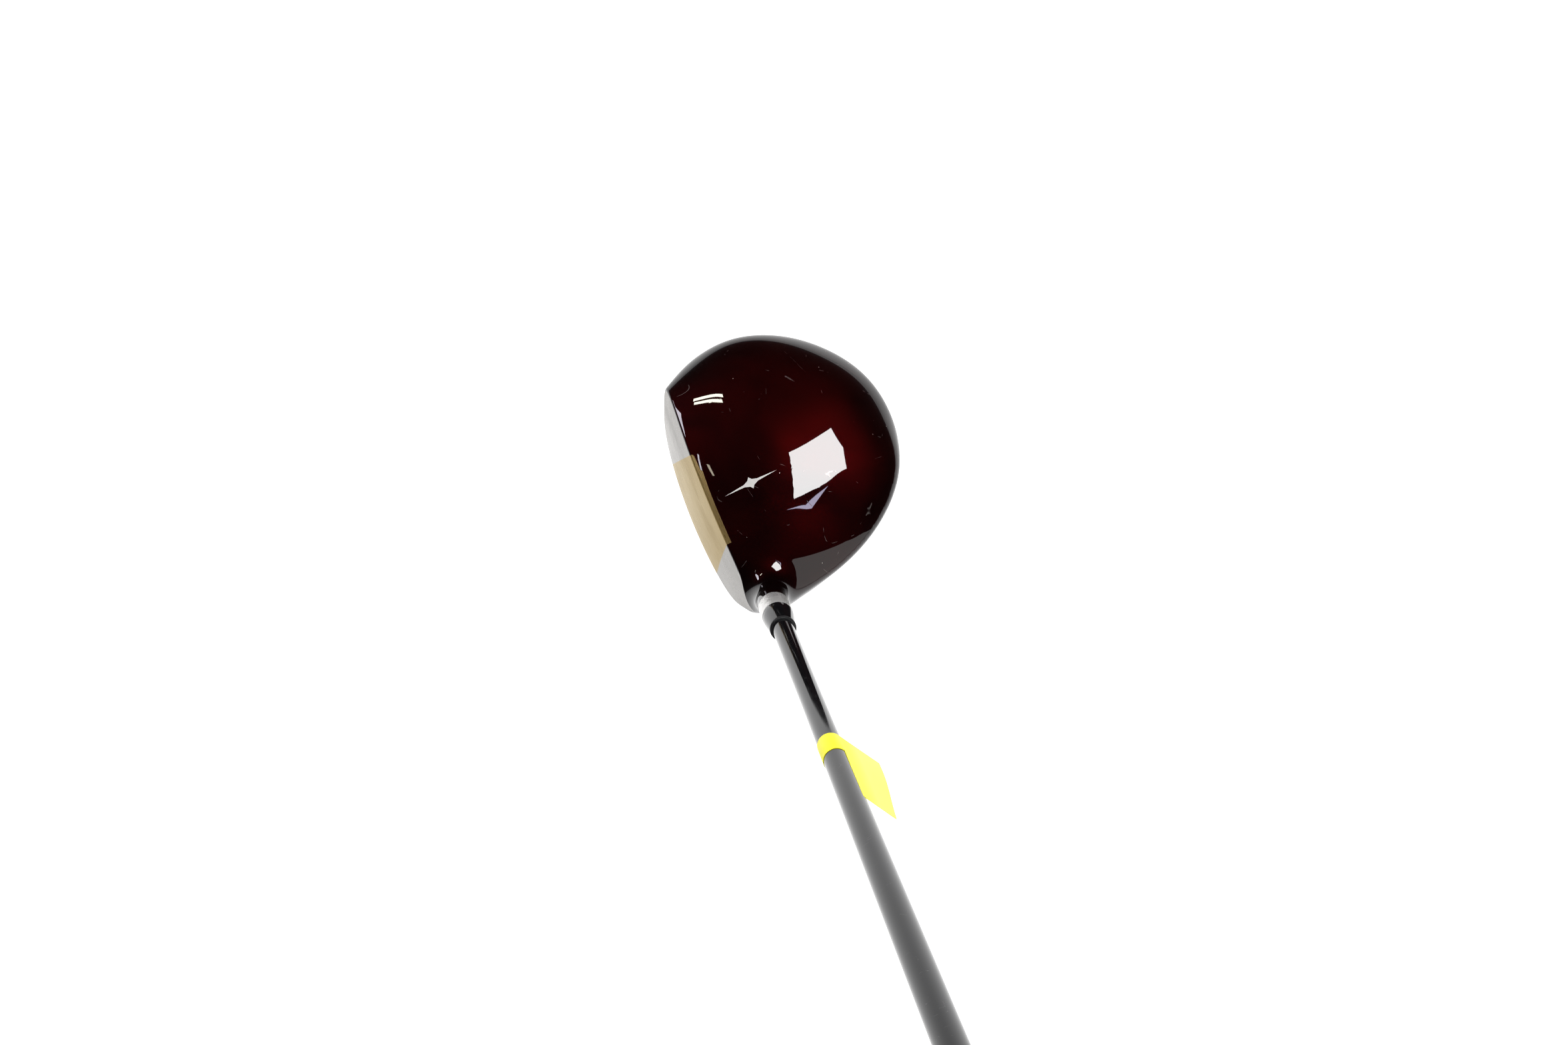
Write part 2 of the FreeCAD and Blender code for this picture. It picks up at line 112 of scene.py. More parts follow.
def outline_series(harmonics=20, samples=2048):
    """The plan outline's distance from the middle as a Fourier series of the plan angle."""
    turn = np.pi / 2 + np.arange(len(OUTLINE)) * 2 * np.pi / len(OUTLINE)
    points = closed_spline(np.stack([np.cos(turn), np.sin(turn)], 1) * np.array(OUTLINE)[:, None], samples)
    angle = np.unwrap(np.arctan2(points[:, 1], points[:, 0]))
    distance = np.hypot(points[:, 0], points[:, 1])
    even = angle[0] + np.arange(samples) * 2 * np.pi / samples
    even_distance = np.interp(even, np.append(angle, angle[0] + 2 * np.pi), np.append(distance, distance[0]))
    return series_of(even, even_distance, harmonics)


def series_of(angle, value, harmonics):
    """Fourier coefficients of evenly spaced values."""
    order = np.arange(harmonics + 1)
    cosine = np.cos(np.outer(order, angle)) @ value * 2 / len(value)
    sine = np.sin(np.outer(order, angle)) @ value * 2 / len(value)
    cosine[0] /= 2
    return cosine, sine


def table_of(series, samples=4096):
    """Values and slopes of a Fourier series at even angles, once round and one more."""
    cosine, sine = series
    angle = np.arange(samples + 1) * 2 * np.pi / samples
    turns = np.outer(angle, np.arange(len(cosine)))
    order = np.arange(len(cosine))
    value = np.cos(turns) @ cosine + np.sin(turns) @ sine
    slope = np.cos(turns) @ (order * sine) - np.sin(turns) @ (order * cosine)
    return value, slope


def table_at(table, angle):
    """Value and slope between the table's angles, on a cubic through both."""
    value, slope = table
    width = 2 * np.pi / (len(value) - 1)
    along = np.mod(angle / width, len(value) - 1)
    first = np.minimum(along.astype(int), len(value) - 2)
    t = along - first
    v0, v1, s0, s1 = value[first], value[first + 1], slope[first] * width, slope[first + 1] * width
    c2, c3 = 3 * (v1 - v0) - 2 * s0 - s1, 2 * (v0 - v1) + s0 + s1
    return v0 + t * (s0 + t * (c2 + t * c3)), (s0 + t * (2 * c2 + 3 * t * c3)) / width


def clamped_spline(corners, samples):
    """Points of a cubic spline that starts and ends on its end corners."""
    corners = np.array(corners, float)
    count = len(corners)
    knots = np.concatenate([[0] * 3, np.arange(count - 2), [count - 3] * 3]).astype(float)
    along = np.linspace(0, count - 3 - 1e-9, samples)
    weights = [((along >= knots[i]) & (along < knots[i + 1])).astype(float) for i in range(len(knots) - 1)]
    for degree in range(1, 4):
        raised = []
        for i in range(len(knots) - 1 - degree):
            left = knots[i + degree] - knots[i]
            right = knots[i + degree + 1] - knots[i + 1]
            term = (along - knots[i]) / left * weights[i] if left else 0
            term = term + ((knots[i + degree + 1] - along) / right * weights[i + 1] if right else 0)
            raised.append(term)
        weights = raised
    return np.stack(weights, 1) @ corners


def tightness_series(harmonics=16, samples=1024):
    """The share of the tight section as a Fourier series of the plan angle."""
    value = closed_spline(np.array(TIGHTNESS)[:, None], samples)[:, 0]
    return series_of(np.pi / 2 + np.arange(samples) * 2 * np.pi / samples, value, harmonics)


def section_series(section, harmonics=48, samples=4096):
    """An upright section's distance from its middle as a Fourier series, mirrored across the axis."""
    half = clamped_spline(section, 3000)
    across, up = half[:, 0] * SECTION_SCALE, half[:, 1] - SECTION_MIDDLE
    angle = np.arctan2(up, across)
    distance = np.hypot(across, up)
    even = -np.pi / 2 + (np.arange(samples) + 0.5) * 2 * np.pi / samples
    folded = np.where(even <= np.pi / 2, even, np.pi - even)
    return series_of(even, np.interp(folded, angle, distance), harmonics)


OUTLINE_TABLE = table_of(outline_series())
TIGHTNESS_TABLE = table_of(tightness_series())
SECTION_TABLE, TIGHT_TABLE = table_of(section_series(SECTION)), table_of(section_series(TIGHT_SECTION))


def head_distance(p):
    """Nearly the distance from the full head's skin, before the face is cut and the neck is added."""
    away = np.hypot(p[:, 0], p[:, 1])
    plan = np.arctan2(p[:, 1], p[:, 0])
    width, width_slope = table_at(OUTLINE_TABLE, plan)
    across, up = SECTION_SCALE * away / width, p[:, 2] - SECTION_MIDDLE
    reach, reach_slope = table_at(SECTION_TABLE, np.arctan2(up, across))
    tight_reach, tight_slope = table_at(TIGHT_TABLE, np.arctan2(up, across))
    tightness, _ = table_at(TIGHTNESS_TABLE, plan)
    reach = reach + (tight_reach - reach) * tightness
    reach_slope = reach_slope + (tight_slope - reach_slope) * tightness
    out = np.maximum(np.hypot(across, up), 1e-6)
    by_across = across / out + reach_slope * up / out ** 2
    by_up = up / out - reach_slope * across / out ** 2
    spread = (SECTION_SCALE / width) ** 2 * (1 + (width_slope / width) ** 2)
    return (out - reach) / np.maximum(np.sqrt(by_across ** 2 * spread + by_up ** 2), 0.3)


def gradient(level, p, step=0.02):
    """Central differences of a level function."""
    slopes = []
    for axis in range(3):
        shift = np.zeros(3)
        shift[axis] = step
        slopes.append((level(p + shift) - level(p - shift)) / (2 * step))
    return np.stack(slopes, 1)


def shaft_coordinates(p):
    """Height along the shaft axis and distance from it."""
    along = (p - FOOT) @ AXIS
    return along, np.linalg.norm(p - FOOT - along[:, None] * AXIS, axis=1)


def neck_distance(p):
    """Distance from the neck's tube, which ends flat inside the head."""
    along, away = shaft_coordinates(p)
    return np.maximum(away - NECK_RADIUS, NECK_BOTTOM - along)


def painted(p):
    """Head and neck, run together in a hollow curve."""
    head, neck = head_distance(p), neck_distance(p)
    overlap = np.maximum(NECK_BLEND - np.abs(head - neck), 0) / NECK_BLEND
    return np.minimum(head, neck) - overlap ** 2 * NECK_BLEND / 4


def smooth_larger(a, b, blend):
    """The larger of two level functions, with the edge between them rounded."""
    overlap = np.maximum(blend - np.abs(a - b), 0) / blend
    return np.maximum(a, b) + overlap ** 2 * blend / 4


def skin(p):
    """The outside of the painted head, with the flat of the sole."""
    return smooth_larger(painted(p), -p[:, 2], SOLE_EDGE)


def face(p):
    """The striking face, which runs out forward below the neck."""
    outward = np.array([0, -math.cos(LOFT), math.sin(LOFT)])
    ball = np.linalg.norm(p - (FACE_CENTRE - outward * FACE_RADIUS), axis=1) - FACE_RADIUS
    along, _ = shaft_coordinates(p)
    rise = np.maximum(along - RUN_OUT, 0)
    return ball - rise ** 2 / (rise + RUN_OUT_START) * RUN_OUT_SLOPE


def onto(levels, p, rounds=6):
    """Moves points onto the place where every level function is zero."""
    p = p.copy()
    for _ in range(rounds):
        values = np.stack([level(p) for level in levels], 1)
        slopes = np.stack([gradient(level, p) for level in levels], 1)
        square = slopes @ slopes.transpose(0, 2, 1) + 1e-9 * np.eye(len(levels))
        p -= (slopes.transpose(0, 2, 1) @ np.linalg.solve(square, values[:, :, None]))[:, :, 0]
    return p


def normals_of(level, p):
    """Unit directions straight out of a level function's surface."""
    slope = gradient(level, p)
    return slope / np.maximum(np.linalg.norm(slope, axis=1, keepdims=True), 1e-9)


# Triangle meshes

class Skin:
    """Triangles with a normal at each point, and the kind of surface each point lies on."""

    def __init__(self, points, normals, kinds, faces):
        self.points, self.normals, self.kinds, self.faces = points, normals, kinds, faces

    def scored(self, field):
        """The same surface with new points and edges along the zero line of a field."""
        value = field(self.points)
        value[np.abs(value) < 0.03] = 0
        sides = np.unique(np.sort(sides_of(self.faces), axis=1), axis=0)
        sides = sides[value[sides[:, 0]] * value[sides[:, 1]] < 0]
        if len(sides) == 0:
            return self
        a, b = sides.T
        share = (value[a] / (value[a] - value[b]))[:, None]
        points = self.points[a] + share * (self.points[b] - self.points[a])
        normals = self.normals[a] + share * (self.normals[b] - self.normals[a])
        normals /= np.linalg.norm(normals, axis=1, keepdims=True)
        kinds = np.where(self.kinds[a] == self.kinds[b], self.kinds[a], EDGE)
        for kind, level in ((OUTER, skin), (FRONT, face)):
            chosen = kinds == kind
            points[chosen] = onto([field, level], points[chosen], 4)
            normals[chosen] = normals_of(level, points[chosen])
        number = {side: len(self.points) + i for i, side in enumerate(map(tuple, sides))}
        sign = np.sign(value[self.faces])
        crossed = (sign > 0).any(1) & (sign < 0).any(1)
        faces = [self.faces[~crossed]]
        for triangle in self.faces[crossed].tolist():
            ring = []
            for start, end in zip(triangle, triangle[1:] + triangle[:1]):
                ring.append(start)
                side = (min(start, end), max(start, end))
                if side in number:
                    ring.append(number[side])
            while ring[0] < len(self.points):
                ring.append(ring.pop(0))
            faces.append(np.array([(ring[0], ring[i], ring[i + 1]) for i in range(1, len(ring) - 1)]))
        return Skin(
            np.concatenate([self.points, points]), np.concatenate([self.normals, normals]),
            np.concatenate([self.kinds, kinds]), np.concatenate(faces),
        )

    def part(self, chosen):
        """The chosen triangles, with only the points that they use."""
        used, index = np.unique(self.faces[chosen], return_inverse=True)
        return Skin(self.points[used], self.normals[used], self.kinds[used], index.reshape(-1, 3))

    def solid(self, name, thickness):
        """A closed object: the surface, a copy of it further in, and a wall round their edges."""
        count = len(self.points)
        everything = np.concatenate([self.points, self.points - self.normals * thickness]) * MM
        polygons = self.faces.tolist() + (self.faces[:, ::-1] + count).tolist()
        polygons += [(b, a, a + count, b + count) for a, b in rim_of(self.faces)]
        item = made(name, everything.tolist(), polygons)
        item.data.shade_smooth()
        slopes = np.concatenate([self.normals, -self.normals]).tolist()
        corners = []
        for polygon in item.data.polygons:
            if len(polygon.vertices) == 4:
                corners += [polygon.normal[:]] * 4
            else:
                corners += [slopes[vertex] for vertex in polygon.vertices]
        item.data.normals_split_custom_set(corners)
        return item


def sides_of(faces):
    """The directed edges of all triangles."""
    return np.concatenate([faces[:, [0, 1]], faces[:, [1, 2]], faces[:, [2, 0]]])


def rim_of(faces):
    """The directed edges that only one triangle has."""
    known = set(map(tuple, sides_of(faces).tolist()))
    return sorted((a, b) for a, b in known if (b, a) not in known)


def linked(name, data):
    item = bpy.data.objects.new(name, data)
    bpy.context.scene.collection.objects.link(item)
    return item


def made(name, points, faces):
    """A new object in the scene, with a mesh of these points and faces."""
    data = bpy.data.meshes.new(name)
    data.from_pydata(points, [], faces)
    return linked(name, data)


def from_bmesh(name, work):
    """A new object from a bmesh, which is freed."""
    data = bpy.data.meshes.new(name)
    work.to_mesh(data)
    work.free()
    return linked(name, data)


# The head

def grid_faces(rows, columns, closed):
    """Triangles of a grid of points, row by row."""
    faces = []
    for row in range(rows - 1):
        for column in range(columns if closed else columns - 1):
            following = (column + 1) % columns
            a, b = row * columns + column, row * columns + following
            c, d = b + columns, a + columns
            faces += [(a, b, c), (a, c, d)]
    return np.array(faces)


def turn_towards(direction, points, faces):
    """Turns over the triangles that face away from a direction."""
    a, b, c = points[faces].transpose(1, 0, 2)
    wrong = np.cross(b - a, c - a) @ direction < 0
    faces[wrong] = faces[wrong][:, ::-1]


def rough_skin(cell=1.25, rows=80, columns=160, sides=40):
    """An even mesh of the head and neck joined, a little off the true skin."""
    up = np.linspace(-np.pi / 2 + 0.01, np.pi / 2 - 0.01, rows)
    plan = np.linspace(0, 2 * np.pi, columns, endpoint=False)
    reach, _ = table_at(SECTION_TABLE, up)
    share = reach * np.cos(up) / SECTION_SCALE
    height = SECTION_MIDDLE + reach * np.sin(up)
    width, _ = table_at(OUTLINE_TABLE, plan)
    head = np.stack([
        np.outer(share, width * np.cos(plan)), np.outer(share, width * np.sin(plan)),
        np.outer(height, np.ones_like(plan)),
    ], 2).reshape(-1, 3)
    ends = [list(range(columns))[::-1], [(rows - 1) * columns + i for i in range(columns)]]
    side, front = np.array([math.sin(LIE), 0, -math.cos(LIE)]), np.array([0, 1, 0])
    turn = np.linspace(0, 2 * np.pi, sides, endpoint=False)
    ring = NECK_RADIUS * (np.outer(np.cos(turn), side) + np.outer(np.sin(turn), front))
    bottom, top = NECK_BOTTOM + 8, NECK_TOP + 8
    neck = np.concatenate([FOOT + AXIS * bottom + ring, FOOT + AXIS * top + ring])
    start = len(head)
    polygons = grid_faces(rows, columns, True).tolist() + ends
    polygons += (grid_faces(2, sides, True)[:, ::-1] + start).tolist()
    polygons += [[start + i for i in range(sides)], [start + 2 * sides - 1 - i for i in range(sides)]]
    item = made("rough", np.concatenate([head, neck]).tolist(), polygons)
    remesh = item.modifiers.new("even", "REMESH")
    remesh.mode = "VOXEL"
    remesh.voxel_size = cell
    even = item.evaluated_get(bpy.context.evaluated_depsgraph_get()).to_mesh()
    points = np.empty(len(even.vertices) * 3)
    even.vertices.foreach_get("co", points)
    faces = []
    for polygon in even.polygons:
        corner = list(polygon.vertices)
        faces += [(corner[0], corner[i], corner[i + 1]) for i in range(1, len(corner) - 1)]
    bpy.data.objects.remove(item)
    return points.reshape(-1, 3), np.array(faces)


def relaxed(points, faces, level, rounds=4):
    """Evens out a mesh on a level function's surface."""
    edges = sides_of(faces)
    links = np.bincount(edges[:, 0], minlength=len(points))[:, None]
    for _ in range(rounds):
        total = np.stack([np.bincount(edges[:, 0], points[edges[:, 1], k], len(points)) for k in range(3)], 1)
        points = onto([level], points + 0.6 * (total / links - points), 3)
    return points


def longest_loop(rim):
    """The points of the longest closed loop of a rim, in order."""
    following = dict(rim)
    loops = []
    while following:
        start, step = following.popitem()
        loop = [start]
        while step != start:
            loop.append(step)
            step = following.pop(step)
        loops.append(loop)
    return max(loops, key=len)


def add_edge(head, band):
    """Adds the rounded edge of the face to the head's skin, and a narrow painted rim on the face."""
    loop = longest_loop(rim_of(head.faces))
    start = head.points[loop]
    corner = onto([skin, face], start, 6)
    end = onto([lambda p: skin(p) + EDGE_ROUND, face], start, 6)
    inner = onto([lambda p: skin(p) + band, face], end, 6)
    from_skin, from_face = head.normals[loop], normals_of(face, end)
    points, normals = [], []
    for share in (0.25, 0.5, 0.75, 1):
        points.append((1 - share) ** 2 * start + 2 * share * (1 - share) * corner + share ** 2 * end)
        normals.append((1 - share) * from_skin + share * from_face)
    points.append(inner)
    normals.append(normals_of(face, inner))
    normals = np.concatenate(normals)
    normals /= np.linalg.norm(normals, axis=1, keepdims=True)
    count, first = len(loop), len(head.points)
    rows = [np.array(loop)] + [first + row * count + np.arange(count) for row in range(5)]
    faces = [head.faces]
    for row, following in zip(rows, rows[1:]):
        a, b, c, d = row, np.roll(row, -1), np.roll(following, -1), following
        faces += [np.stack([b, a, c], 1), np.stack([a, d, c], 1)]
    kinds = np.concatenate([head.kinds, np.full(3 * count, EDGE), np.full(2 * count, FRONT)])
    whole = Skin(
        np.concatenate([head.points] + [np.concatenate(points)]),
        np.concatenate([head.normals, normals]), kinds, np.concatenate(faces),
    )
    return whole, rows[-1]


def add_face(head, loop, cell=1.3, margin=1.2):
    """Fills the loop with the striking face, on a grid that keeps clear of it."""
    border = head.points[loop]
    across = np.arange(border[:, 0].min(), border[:, 0].max(), cell)
    up = np.arange(border[:, 2].min(), border[:, 2].max(), cell)
    start = np.full(len(across) * len(up), -35.0)
    grid = np.stack([np.tile(across, len(up)), start, np.repeat(up, len(across))], 1)
    for _ in range(8):
        grid[:, 1] -= face(grid) / gradient(face, grid)[:, 1]
    grid = grid[skin(grid) < -margin]
    flat = [Vector((x, z)) for x, _, z in np.concatenate([border, grid])]
    count = len(loop)
    ring = [(i, (i + 1) % count) for i in range(count)]
    _, _, triangles, sources, _, _ = geometry.delaunay_2d_cdt(flat, ring, [], 1, 1e-6)
    number = np.concatenate([loop, len(head.points) + np.arange(len(grid))])
    faces = np.array([[number[sources[corner][0]] for corner in triangle] for triangle in triangles])
    points = np.concatenate([head.points, grid])
    turn_towards(np.array([0, -1, 0]), points, faces)
    return Skin(
        points, np.concatenate([head.normals, normals_of(face, grid)]),
        np.concatenate([head.kinds, np.full(len(grid), FRONT)]), np.concatenate([head.faces, faces]),
    )


def toe_side(p):
    """Positive beyond the toe end of the insert."""
    return INSERT_TOE + (p[:, 2] - FACE_CENTRE[2]) * TOE_SLOPE - p[:, 0]


def heel_side(p):
    """Positive beyond the heel end of the insert."""
    return p[:, 0] - INSERT_HEEL + (p[:, 2] - FACE_CENTRE[2]) * HEEL_SLOPE


def behind_insert(p):
    """Positive behind the strip of the insert that shows on the crown."""
    return -face(p) - np.interp(p[:, 0], STRIP_X, STRIP_DEPTH)


def beside_plate(p):
    """Positive outside the recess of the sole plate, and everywhere on the crown."""
    over_x = np.abs(p[:, 0]) - PLATE_LONG / 2 + PLATE_CORNER
    over_y = np.abs(p[:, 1]) - PLATE_DEEP / 2 + PLATE_CORNER
    away = np.hypot(np.maximum(over_x, 0), np.maximum(over_y, 0)) + np.minimum(np.maximum(over_x, over_y), 0)
    return np.where(p[:, 2] > PARTING_Z, 1, away - PLATE_CORNER)


def make_head():
    """The crown, body, neck, striking plate and insert, which share one outer surface."""
    points, faces = rough_skin()
    points = relaxed(onto([skin], points, 6), faces, skin)
    head = Skin(points, normals_of(skin, points), np.full(len(points), OUTER), faces)

    def past_face(p):
        return face(p) + EDGE_ROUND

    head = head.scored(past_face)
    head = head.part(past_face(head.points[head.faces].mean(1)) < 0)
    head, loop = add_edge(head, RIM)
    head = add_face(head, loop)
    fields = [
        lambda p: shaft_coordinates(p)[0] - NECK_TOP, lambda p: shaft_coordinates(p)[1] - NECK_REACH,
        lambda p: p[:, 2] - PARTING_Z, toe_side, heel_side, behind_insert, beside_plate,
    ]
    for field in fields:
        head = head.scored(field)
    middle = head.points[head.faces].mean(1)
    along, around, above, toe, heel, behind, beside = [field(middle) for field in fields]
    on_face = (head.kinds[head.faces] == FRONT).all(1)
    painted_rim = on_face & (skin(middle) > -RIM)
    insert = (toe < 0) & (heel < 0) & (behind < 0) & (middle[:, 1] < 0)
    neck = (around < 0) & (above > 0) & ~on_face
    kept = (along < 0) & (beside > 0)
    plate = on_face & ~painted_rim & ~insert
    parts = {
        "face_insert": insert, "face_plate": plate, "hosel": kept & neck & ~insert,
        "crown": kept & (above > 0) & ~insert & ~plate & ~neck,
        "head_body": kept & (above < 0) & ~insert & ~plate & ~neck,
    }
    return {name: head.part(chosen).solid(name + "_skin", SHELL) for name, chosen in parts.items()}


# Turned pieces on the shaft

LEANED = Matrix.Translation(Vector(FOOT) * MM) @ Matrix.Rotation(math.pi / 2 - LIE, 4, "Y")


def eased(profile, radius, steps=3):
    """A closed profile with its corners rounded."""
    points = []
    count = len(profile)
    for i, corner in enumerate(profile):
        corner = Vector(corner)
        before, after = Vector(profile[i - 1]) - corner, Vector(profile[(i + 1) % count]) - corner
        reach = min(radius, before.length * 0.45, after.length * 0.45)
        start, end = corner + before.normalized() * reach, corner + after.normalized() * reach
        for step in range(steps + 1):
            t = step / steps
            points.append((1 - t) ** 2 * start + 2 * t * (1 - t) * corner + t ** 2 * end)
    return points


def turned(name, profile, segments=96, crease=32):
    """A piece turned about the shaft axis from a closed profile of radius and height in millimetres."""
    turn = np.arange(segments) * 2 * np.pi / segments
    points, faces = [], []
    for radius, height in profile:
        points += [(radius * math.cos(a) * MM, radius * math.sin(a) * MM, height * MM) for a in turn]
    for row in range(len(profile)):
        following = (row + 1) % len(profile)
        for i in range(segments):
            j = (i + 1) % segments
            here, there = row * segments, following * segments
            faces.append((here + i, here + j, there + j, there + i))
    item = made(name, points, faces)
    item.data.transform(LEANED)
    outward(item.data)
    smooth(item, crease)
    return item


def smooth(item, crease):
    """Smooth shading, but sharp where faces meet at more than an angle in degrees."""
    item.data.shade_smooth()
    item.data.set_sharp_from_angle(angle=math.radians(crease))


def outward(data):
    """Turns every face of a closed mesh to the outside."""
    work = bmesh.new()
    work.from_mesh(data)
    bmesh.ops.recalc_face_normals(work, faces=work.faces)
    work.to_mesh(data)
    work.free()


def make_collar():
    bore, outside = 4.4, 6.25
    profile = [
        (bore, NECK_TOP), (outside - 0.2, NECK_TOP), (outside, NECK_TOP + 0.3), (outside, COLLAR_TOP),
        (bore, COLLAR_TOP),
    ]
    return turned("collar_turned", eased(profile, 0.15), 128)


def make_ferrule():
    """A sleeve with a short straight foot and a slightly curved taper."""
    bore, foot, wide, narrow = TIP_RADIUS + GAP, 62, 6.15, 4.8
    heights = np.linspace(foot, FERRULE_TOP, 9)
    share = (heights - foot) / (FERRULE_TOP - foot)
    profile = [(bore, COLLAR_TOP), (wide - 0.08, COLLAR_TOP), (wide, COLLAR_TOP + 0.1)]
    profile += [(wide - (wide - narrow) * t ** 1.2, height) for t, height in zip(share, heights)]
    return turned("ferrule_turned", profile + [(bore, FERRULE_TOP)], 128)


def make_ring():
    """A rubber ring, flat inside and round outside."""
    bore, top, middle, wide, tall = TIP_RADIUS + GAP / 2, 75, 4.7, 0.55, 0.88
    profile = [(bore, FERRULE_TOP), (bore, top)]
    for angle in np.radians(np.linspace(90, -90, 9)):
        height = (FERRULE_TOP + top) / 2 + tall * math.sin(angle)
        profile.append((middle + wide * math.cos(angle), height))
    return turned("ring_turned", profile, 96, 50)


def taper_radius(height):
    """Outside radius of the shaft above its parallel tip."""
    return TIP_RADIUS + (BUTT_RADIUS - TIP_RADIUS) * (height - TAPER_START) / (BUTT_TOP - TAPER_START)


def make_shaft():
    """The hollow shaft: parallel at the tip, then an even taper to the butt."""
    bottom, tip_bore, butt_bore = 24.5, 2.6, 6.6
    profile = [(tip_bore, bottom), (TIP_RADIUS, bottom), (TIP_RADIUS, 110)]
    profile += [(taper_radius(height), height) for height in np.linspace(TAPER_START, BUTT_TOP, 21)]
    profile += [(butt_bore, BUTT_TOP), (tip_bore, TAPER_START)]
    return turned("shaft_turned", profile, 160)


def make_grip():
    """The rubber sleeve, with shallow grooves in rings at both ends and a rounded mouth."""
    mouth, narrow, wide, tape, groove, pitch = 822, 9.2, 13.2, 0.25, 0.28, 3.0
    outside = []
    for height in np.arange(mouth, GRIP_TOP + 0.1, 0.5):
        up, down = height - mouth, GRIP_TOP - height
        radius = narrow + (wide - narrow) * up / (GRIP_TOP - mouth) - 1.1 * max(0, 1 - up / 1.5) ** 2
        if 5 < up < 19 or 4 < down < 22:
            radius -= groove * (0.5 - 0.5 * math.cos(2 * math.pi * height / pitch)) ** 2
        outside.append((radius, height))
    inside = [(taper_radius(height) + tape + GAP, height) for height in (GRIP_TOP, mouth)]
    return turned("grip_sleeve", outside + inside, 96, 60)


def make_cap():
    """The cap: a vent in the middle, a fine groove in its top and a pocket for the butt."""
    top, wide, curve, vent, pocket = 1092, 13.6, 1.2, 1.5, 7.95
    profile = [(vent, BUTT_TOP), (vent, top - 0.6), (vent + 0.6, top)]
    profile += [(8.6, top), (8.9, top - 0.3), (9.4, top - 0.3), (9.7, top)]
    for angle in np.radians([0, 22, 45, 68, 90]):
        profile.append((wide - curve + curve * math.sin(angle), top - curve + curve * math.cos(angle)))
    profile += [(wide, GRIP_TOP + 0.3), (wide - 0.3, GRIP_TOP), (pocket, GRIP_TOP), (pocket, BUTT_TOP)]
    return turned("cap_moulded", profile, 96, 50)


def make_tag():
    """A folded label: a band round the shaft, and its two ends stuck together as a slightly bent flag."""
    bottom, tall, wide, radius, thick = 197, 56, 18.5, 4.48, 0.2
    band_tall, lean, turn = 14.5, 3.9, math.radians(31)
    out, side = Vector((math.cos(turn), math.sin(turn), 0)), Vector((-math.sin(turn), math.cos(turn), 0))
    outer, top = radius + thick, bottom + band_tall
    profile = [(radius, bottom), (outer, bottom), (outer, top), (radius, top)]
    band = turned("band", eased(profile, 0.05), 96)
    rows, columns = 45, 17
    points, faces = [], []
    for layer in (0.5, -0.5):
        for i in range(rows):
            for j in range(columns):
                u, v = i / (rows - 1), j / (columns - 1)
                bend = 0.5 * v ** 2 * math.sin(2.6 * u + 0.3) + 0.25 * v * math.sin(5.5 * u)
                skew = lean * u * min(1, 4 * v)
                point = out * (v * wide - skew) + side * (radius + thick / 2 + bend + layer * thick * 0.9)
                point.z = bottom + u * tall
                points.append(LEANED @ (point * MM))
    total = rows * columns
    for i in range(rows - 1):
        for j in range(columns - 1):
            a = i * columns + j
            faces.append((a, a + 1, a + columns + 1, a + columns))
            faces.append((total + a, total + a + columns, total + a + columns + 1, total + a + 1))
    border = [(0, j) for j in range(columns)] + [(i, columns - 1) for i in range(1, rows)]
    border += [(rows - 1, j) for j in range(columns - 2, -1, -1)] + [(i, 0) for i in range(rows - 2, 0, -1)]
    for (i, j), (k, l) in zip(border, border[1:] + border[:1]):
        a, b = i * columns + j, k * columns + l
        faces.append((a, a + total, b + total, b))
    flag = made("flag", points, faces)
    outward(flag.data)
    work = bmesh.new()
    for item in (band, flag):
        work.from_mesh(item.data)
        bpy.data.objects.remove(item)
    label = from_bmesh("tag_label", work)
    smooth(label, 40)
    return label


def make_mark():
    """The star on the crown, a thin raised layer of paint."""
    long, waist, root, wide = 11.5, 0.5, 3.0, 2.5
    half_way = (waist * 0.5, root + (long - root) * 0.5)
    quarter = [(0, long), half_way, (waist, root), (waist + 0.8, 0.9), (wide, 0)]
    outline = quarter + [(x, -y) for x, y in quarter[-2::-1]]
    outline += [(-x, y) for x, y in outline[-2:0:-1]]
    tilt = math.radians(MARK_TILT)
    steps, rings = 6, 5
    count = len(outline) * steps
    loop = []
    for (x0, y0), (x1, y1) in zip(outline, outline[1:] + outline[:1]):
        loop += [(x0 + (x1 - x0) * t / steps, y0 + (y1 - y0) * t / steps) for t in range(steps)]
    points = [(0, 0)]
    for ring in range(1, rings + 1):
        points += [(x * ring / rings, y * ring / rings) for x, y in loop]
    flat = np.array(points)
    placed = np.stack([
        MARK_X + flat[:, 0] * math.cos(tilt) - flat[:, 1] * math.sin(tilt),
        MARK_Y + flat[:, 0] * math.sin(tilt) + flat[:, 1] * math.cos(tilt),
        np.full(len(flat), 38.0),
    ], 1)
    for _ in range(6):
        placed[:, 2] -= skin(placed) / gradient(skin, placed)[:, 2]
    normals = normals_of(skin, placed)
    faces = [(0, 1 + i, 1 + (i + 1) % count) for i in range(count)]
    for ring in range(rings - 1):
        for i in range(count):
            a, b = 1 + ring * count + i, 1 + ring * count + (i + 1) % count
            faces += [(a, a + count, b + count), (a, b + count, b)]
    faces = np.array(faces)
    turn_towards(np.array([0, 0, 1]), placed, faces)
    layer = Skin(placed + normals * 0.02, normals, np.full(len(placed), OUTER), faces)
    return layer.solid("mark_paint", 0.2)


# Materials

